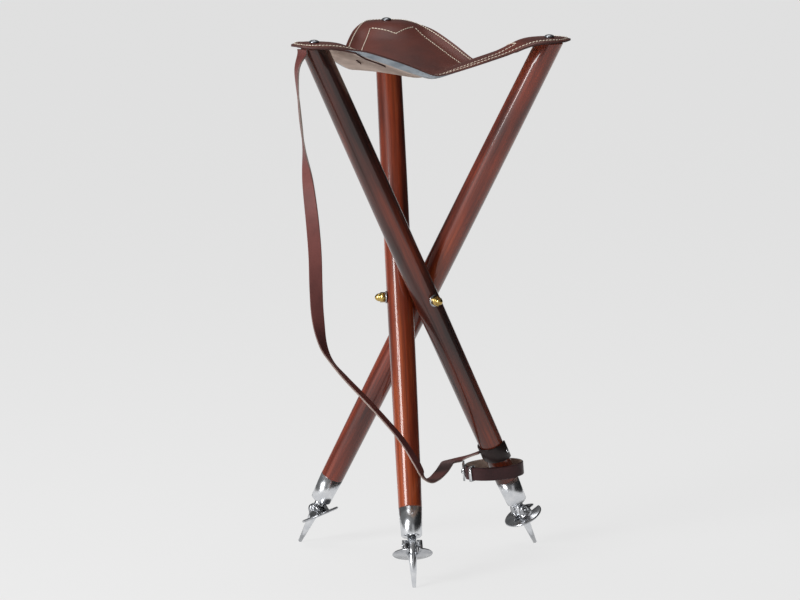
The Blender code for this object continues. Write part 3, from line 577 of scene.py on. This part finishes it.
def sheet_mesh(turns, reaches, letter, low, high, hem):
    """A third of the leather as a closed sheet: look 0 on top, 1 below, 2 on the edges, 3 under the hem."""
    bm = bmesh.new()
    over, under, in_hem = [], [], []
    for turn in turns:
        edge = seat_outline(turn)
        spots = [in_plan(letter, turn, edge * reach) for reach in reaches]
        over.append([bm.verts.new(on_seat(spot, skived_top(spot) - SEAT_TOP + high)) for spot in spots])
        under.append([bm.verts.new(on_seat(spot, low)) for spot in spots])
        in_hem.append([rim_distance(spot) < HEM_WIDTH for spot in spots])
    for layer, look in ((over, 0), (under, 1)):
        for i in range(len(turns) - 1):
            for k in range(len(reaches) - 1):
                face = bm.faces.new((layer[i][k], layer[i + 1][k], layer[i + 1][k + 1], layer[i][k + 1]))
                face.material_index = 3 if look and in_hem[i][k] and hem else look
    rims = [([row[-1] for row in over], [row[-1] for row in under])]
    rims.append(([row[0] for row in over], [row[0] for row in under]))
    rims += [(over[i], under[i]) for i in (0, -1)]
    for first, second in rims:
        for k in range(len(first) - 1):
            bm.faces.new((first[k], first[k + 1], second[k + 1], second[k])).material_index = 2
    return bm


def make_seat_third(letter):
    """A third of the seat on its leg, with its corner patch below."""
    turns = [math.copysign(abs(k / SEAT_HALF_STEPS) ** SEAT_STEP_CROWDING, k) * HALF_THIRD
             for k in range(-SEAT_HALF_STEPS, SEAT_HALF_STEPS + 1)]
    nearest = SEAT_INNER_REACH / SEAT_REACH
    reaches = [nearest + (1 - nearest) * k / SEAT_RINGS for k in range(SEAT_RINGS + 1)]
    bm = sheet_mesh(turns, reaches, letter, SEAT_BOTTOM, SEAT_TOP, True)
    looks = [LOOKS["leather"], LOOKS["under"], LOOKS["cut"], LOOKS["hem"]]
    third = add_piece(f"seat_leather_{letter}", bm, looks, f"leg_{letter}", ("seat_panel",))
    fold_with_leg(third)

    spread = [PATCH_HALF_ANGLE * (2 * k / PATCH_STEPS - 1) for k in range(PATCH_STEPS + 1)]
    inner = 1 - 2 * PATCH_REACH / SEAT_REACH
    reaches = [inner + (PATCH_OUTER - inner) * k / PATCH_STEPS for k in range(PATCH_STEPS + 1)]
    bm = sheet_mesh(spread, reaches, letter, PATCH_BOTTOM, PATCH_BOTTOM + PATCH_THICKNESS, False)
    looks = [LOOKS["under"], LOOKS["under"], LOOKS["cut"]]
    patch = add_piece(f"corner_suede_{letter}", bm, looks, f"leg_{letter}",
                      (f"corner_patch_{letter}",))
    fold_with_leg(patch)


def inset_line(letter, depth):
    """The seat's edge over a third, moved in by a depth."""
    edge = []
    for k in range(OUTLINE_STEPS + 1):
        turn = HALF_THIRD * (2 * k / OUTLINE_STEPS - 1)
        edge.append(in_plan(letter, turn, seat_outline(turn)))
    line = []
    for k in range(1, OUTLINE_STEPS):
        along = (edge[k + 1] - edge[k - 1]).normalized()
        line.append(edge[k] + Vector((-along.y, along.x)) * depth)
    return line


def sewn(line, bm):
    """Stitches laid along a line in plan."""
    walked = 0.0
    wanted = STITCH_PITCH / 2
    for first, second in zip(line, line[1:]):
        step = (second - first).length
        while step and walked + step >= wanted:
            middle = first.lerp(second, (wanted - walked) / step)
            add_stitch(bm, middle, (second - first).normalized())
            wanted += STITCH_PITCH
        walked += step


def add_stitch(bm, middle, along):
    """One stitch: a small rounded bar pulled into the leather at both ends."""
    across = Vector((-along.y, along.x)) * STITCH_WIDTH / 2
    rings = []
    for reach, wide, high in STITCH_RINGS:
        centre = middle + along * STITCH_LENGTH * reach
        ring = []
        for side, lift in STITCH_SECTION:
            spot = centre + across * side * wide
            ring.append(bm.verts.new(on_seat(spot, skived_top(spot)) + UP * STITCH_HEIGHT * (high + lift)))
        rings.append(ring)
    join_rings(bm, rings)


def half(spot, letter):
    """Which side of the corner's own line a place in plan lies on."""
    outward = (TOPS[letter] - HUB).xy
    away = spot - HUB.xy
    return outward.x * away.y - outward.y * away.x


def make_stitches(letter):
    """Two rows along the edges, the inner one crossing under the corner as a chevron."""
    bm = bmesh.new()
    sewn(inset_line(letter, STITCH_ROWS[0]), bm)
    outward = (TOPS[letter] - HUB).xy.normalized()
    inner = inset_line(letter, STITCH_ROWS[1])
    limit = CORNER_REACH - CHEVRON_END
    free = [spot for spot in inner if (spot - HUB.xy).dot(outward) < limit]
    sides = [[spot for spot in free if half(spot, letter) * sign > 0] for sign in (-1, 1)]
    for side in sides:
        sewn(side, bm)
    tip = HUB.xy + outward * (CORNER_REACH - CHEVRON_TIP)
    for side in sides:
        corner = max(side, key=lambda spot: (spot - HUB.xy).dot(outward))
        sewn([tip.lerp(corner, k / CHEVRON_STEPS) for k in range(CHEVRON_STEPS + 1)], bm)
    piece = add_piece(f"seat_stitches_{letter}", bm, [LOOKS["thread"]], f"leg_{letter}")
    fold_with_leg(piece)


def belt_axes():
    return leg_frame("a") @ Matrix.Translation((0, 0, BELT_AT)) @ Matrix.Rotation(-BELT_TILT, 4, "Y")


def belt_spot(turn, lift=0.0):
    """A point on the belt's middle line in the belt's axes, and the way its outer face looks."""
    toward_front = math.pi / 2 + BELT_LEFT_ANGLE
    left = Vector((math.cos(BELT_LEFT_ANGLE), math.sin(BELT_LEFT_ANGLE), 0))
    front = Vector((math.cos(toward_front), math.sin(toward_front), 0))
    depth_at_leg = BELT_HALF_DEPTH * math.sqrt(1 - (BELT_LEFT_SHIFT / BELT_HALF_LENGTH) ** 2)
    leg_shift = BELT_WIDTH / 2 * math.tan(BELT_TILT)
    room = leg_radius(BELT_AT) / math.cos(BELT_TILT) + leg_shift + BELT_EASE
    centre = left * BELT_LEFT_SHIFT + front * (depth_at_leg - BELT_THICKNESS / 2 - room)
    point = centre + left * BELT_HALF_LENGTH * math.cos(turn) + front * BELT_HALF_DEPTH * math.sin(turn)
    out = (left * math.cos(turn) / BELT_HALF_LENGTH + front * math.sin(turn) / BELT_HALF_DEPTH).normalized()
    return point + out * lift, out


def make_belt():
    """The loose belt round leg A and its tail."""
    looks = [LOOKS["belt"], LOOKS["under"], LOOKS["dark"]]
    spots = [belt_spot(2 * math.pi * k / BELT_STEPS) for k in range(BELT_STEPS)]
    bm = strip([s[0] for s in spots], [s[1] for s in spots], BELT_WIDTH, BELT_THICKNESS, closed=True)
    add_piece("belt_ring_leather", bm, looks, "belt", ("foot_belt",), belt_axes())

    turns = [TAIL_START + (TAIL_END - TAIL_START) * k / TAIL_STEPS for k in range(TAIL_STEPS + 1)]
    spots = [belt_spot(turn, BELT_THICKNESS + GAP) for turn in turns]
    end = spots[-1][0]
    taper = [min(1.0, TAIL_END_SHARE + (end - s[0]).length / TAIL_POINT) for s in spots]
    bm = strip([s[0] for s in spots], [s[1] for s in spots], BELT_WIDTH, BELT_THICKNESS, taper=taper)
    add_piece("belt_tail_leather", bm, looks, "belt", ("belt_tail",), belt_axes())


def wrap_edges(share):
    """Lower and upper edge of the wrapped end, along leg A."""
    low = TAB_BOTTOM + WRAP_RISE * (1 - share)
    return low, low + STRAP_WIDTH + (TAB_LENGTH - STRAP_WIDTH) * share


def make_wrap():
    """The strap's end round the front of leg A, widening to the riveted tab."""
    rings = []
    for k in range(WRAP_STEPS + 1):
        share = k / WRAP_STEPS
        turn = WRAP_START + (TAB_END - WRAP_START) * share
        low, high = wrap_edges(share)
        middle = (low + high) / 2
        out = Vector((math.cos(turn), math.sin(turn), 0))
        ring = []
        for x, y in STRIP_SECTION:
            along = middle + (high - low) / 2 * x
            ring.append(out * (leg_radius(along) + GAP + TAB_THICKNESS * (1 + y) / 2) + UP * along)
        rings.append(ring)
    # The wrapped end takes the near-black leather as painted shade: it is the strap's own leather where it lies
    # in shade round the leg
    add_piece("strap_end_leather", loft(rings), [LOOKS["dark"]], "leg_a", ("belt_tab",),
              leg_frame("a"))


def strap_end(run):
    """A point square off the wrapped end, where the strap meets it, in leg A's axes."""
    low, _ = wrap_edges((STRAP_END_ANGLE - WRAP_START) / (TAB_END - WRAP_START))
    along = low + STRAP_WIDTH / 2
    out = Vector((math.cos(STRAP_END_ANGLE), math.sin(STRAP_END_ANGLE), 0))
    return out * (leg_radius(along) + TAB_THICKNESS + 2 * GAP + run) + UP * along


def make_strap():
    """The carry strap from under the seat's corner to its wrapped end on leg A."""
    axis = Vector((HUB.x, HUB.y, 0))
    corner = TOPS["a"] - axis
    outward = corner.xy.to_3d().normalized()
    reach = corner.xy.length + LEG_TOP_RADIUS / math.cos(LEAN) + GAP + STRAP_THICKNESS / 2
    spot = in_plan("a", STRAP_WIDTH / 2 / reach, SEAT_REACH)
    start = outward * reach + UP * (PATCH_BOTTOM - seat_sag(spot) - 2 * GAP)
    below = start - UP * STRAP_START_DROP
    near, end = [leg_frame("a") @ strap_end(run) - axis for run in (STRAP_END_RUN, 0)]
    route = [point + axis for point in smooth_route((start, below, *STRAP_ROUTE, near, end), STRAP_STEPS)]
    bm = strip(route, smooth_route(STRAP_FACES, STRAP_STEPS), STRAP_WIDTH, STRAP_THICKNESS)
    looks = [LOOKS["strap"], LOOKS["under"], LOOKS["pale cut"]]
    strap = add_piece("strap_leather", bm, looks, "leg_a", ("carry_strap",))
    toward_b = Vector((math.cos(LEG_B_WHEN_FOLDED), math.sin(LEG_B_WHEN_FOLDED), 0))
    anchor = leg_frame("a") @ (toward_b * STRAP_BESIDE_LEG)
    leg_frame("a").to_3x3() @ toward_b
    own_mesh(strap)


def dress_metal():
    """Metal nodes keep their solids, shaded smooth across small angles."""
    for name, node in frame["nodes"].items():
        for start, look in METAL_LOOKS.items():
            if name.startswith(start):
                node.data.materials.clear()
                node.data.materials.append(LOOKS[look])
                weld = node.modifiers.new("join facets", "WELD")
                weld.merge_threshold = WELD_DISTANCE
                node.data.shade_smooth()
                node.data.set_sharp_from_angle(angle=METAL_SHARP_ANGLE)


def floor_look():
    """Pale to the camera and in reflections, with a share of its lit shade kept for the shadow."""
    look = bpy.data.materials.new("floor")
    look.use_nodes = True
    tree = look.node_tree
    tree.nodes.clear()
    seen = tree.nodes.new("ShaderNodeLightPath")
    direct = seen.outputs["Is Camera Ray"]
    for kind in ("Is Glossy Ray", "Is Transmission Ray"):
        either = tree.nodes.new("ShaderNodeMath")
        either.operation = "MAXIMUM"
        tree.links.new(direct, either.inputs[0])
        tree.links.new(seen.outputs[kind], either.inputs[1])
        direct = either.outputs[0]
    shade = add_node(tree, "ShaderNodeBsdfDiffuse", Color=(BACKGROUND, BACKGROUND, BACKGROUND, 1))
    glow = add_node(tree, "ShaderNodeEmission", Color=(BACKGROUND, BACKGROUND, BACKGROUND, 1), Strength=1.0)
    soft = add_node(tree, "ShaderNodeMixShader", Fac=1 - FLOOR_SHADE)
    tree.links.new(shade.outputs[0], soft.inputs[1])
    tree.links.new(glow.outputs[0], soft.inputs[2])
    pick = tree.nodes.new("ShaderNodeMixShader")
    tree.links.new(direct, pick.inputs["Fac"])
    tree.links.new(shade.outputs[0], pick.inputs[1])
    tree.links.new(soft.outputs[0], pick.inputs[2])
    out = tree.nodes.new("ShaderNodeOutputMaterial")
    tree.links.new(pick.outputs[0], out.inputs["Surface"])
    return look


def make_floor():
    """A floor that fills the view."""
    bpy.ops.mesh.primitive_plane_add(size=2 * FLOOR_HALF)
    floor = bpy.context.object
    floor.name = "floor"
    floor.data.materials.append(floor_look())


def make_card():
    """A dark card at the right that only reflections see."""
    bpy.ops.mesh.primitive_plane_add(location=CARD_PLACE, rotation=(math.pi / 2, 0, math.pi / 2))
    card = bpy.context.object
    card.name = "dark_card"
    card.scale = (CARD_SIZE[0] / 2, CARD_SIZE[1] / 2, 1)
    card.visible_camera = False
    card.visible_diffuse = False
    card.visible_shadow = False
    look, _, shader = new_look("dark card", CARD_ROUGHNESS)
    shader.inputs["Base Color"].default_value = (CARD_SHADE, CARD_SHADE, CARD_SHADE, 1)
    card.data.materials.append(look)


def make_world():
    """Faint even light from all round."""
    world = bpy.data.worlds.new("studio")
    world.use_nodes = True
    back = world.node_tree.nodes["Background"]
    back.inputs["Color"].default_value = (BACKGROUND, BACKGROUND, BACKGROUND, 1)
    back.inputs["Strength"].default_value = WORLD_STRENGTH
    bpy.context.scene.world = world


def make_lamps():
    """Soft lamps that point at the hub."""
    for name, place, size, power in LAMPS:
        lamp = bpy.data.lights.new(name, "AREA")
        lamp.shape = "RECTANGLE"
        lamp.size, lamp.size_y = size
        lamp.energy = power
        held = bpy.data.objects.new(name, lamp)
        held.location = place
        toward = HUB - Vector(place)
        held.rotation_euler = toward.to_track_quat("-Z", "Y").to_euler()
        bpy.context.scene.collection.objects.link(held)


def make_camera():
    """The camera at the photo's angle."""
    camera = bpy.data.cameras.new("camera")
    camera.lens = FOCAL_LENGTH
    camera.sensor_width = SENSOR_WIDTH
    camera.clip_end = CLIP_END
    held = bpy.data.objects.new("camera", camera)
    aim = Vector((HUB.x - AIM_LEFT, HUB.y, AIM_HEIGHT))
    back_off = Vector((0, -math.cos(CAMERA_ELEVATION), math.sin(CAMERA_ELEVATION)))
    held.location = aim + CAMERA_DISTANCE * back_off
    held.rotation_euler = (math.pi / 2 - CAMERA_ELEVATION, 0, 0)
    bpy.context.scene.collection.objects.link(held)
    bpy.context.scene.camera = held


bpy.context.scene.view_settings.view_transform = "Standard"
make_floor()
make_card()
make_world()
make_lamps()
make_camera()
make_strap()
for leg in LETTERS:
    make_leg(leg)
    make_seat_third(leg)
    make_stitches(leg)
make_belt()
make_wrap()
dress_metal()
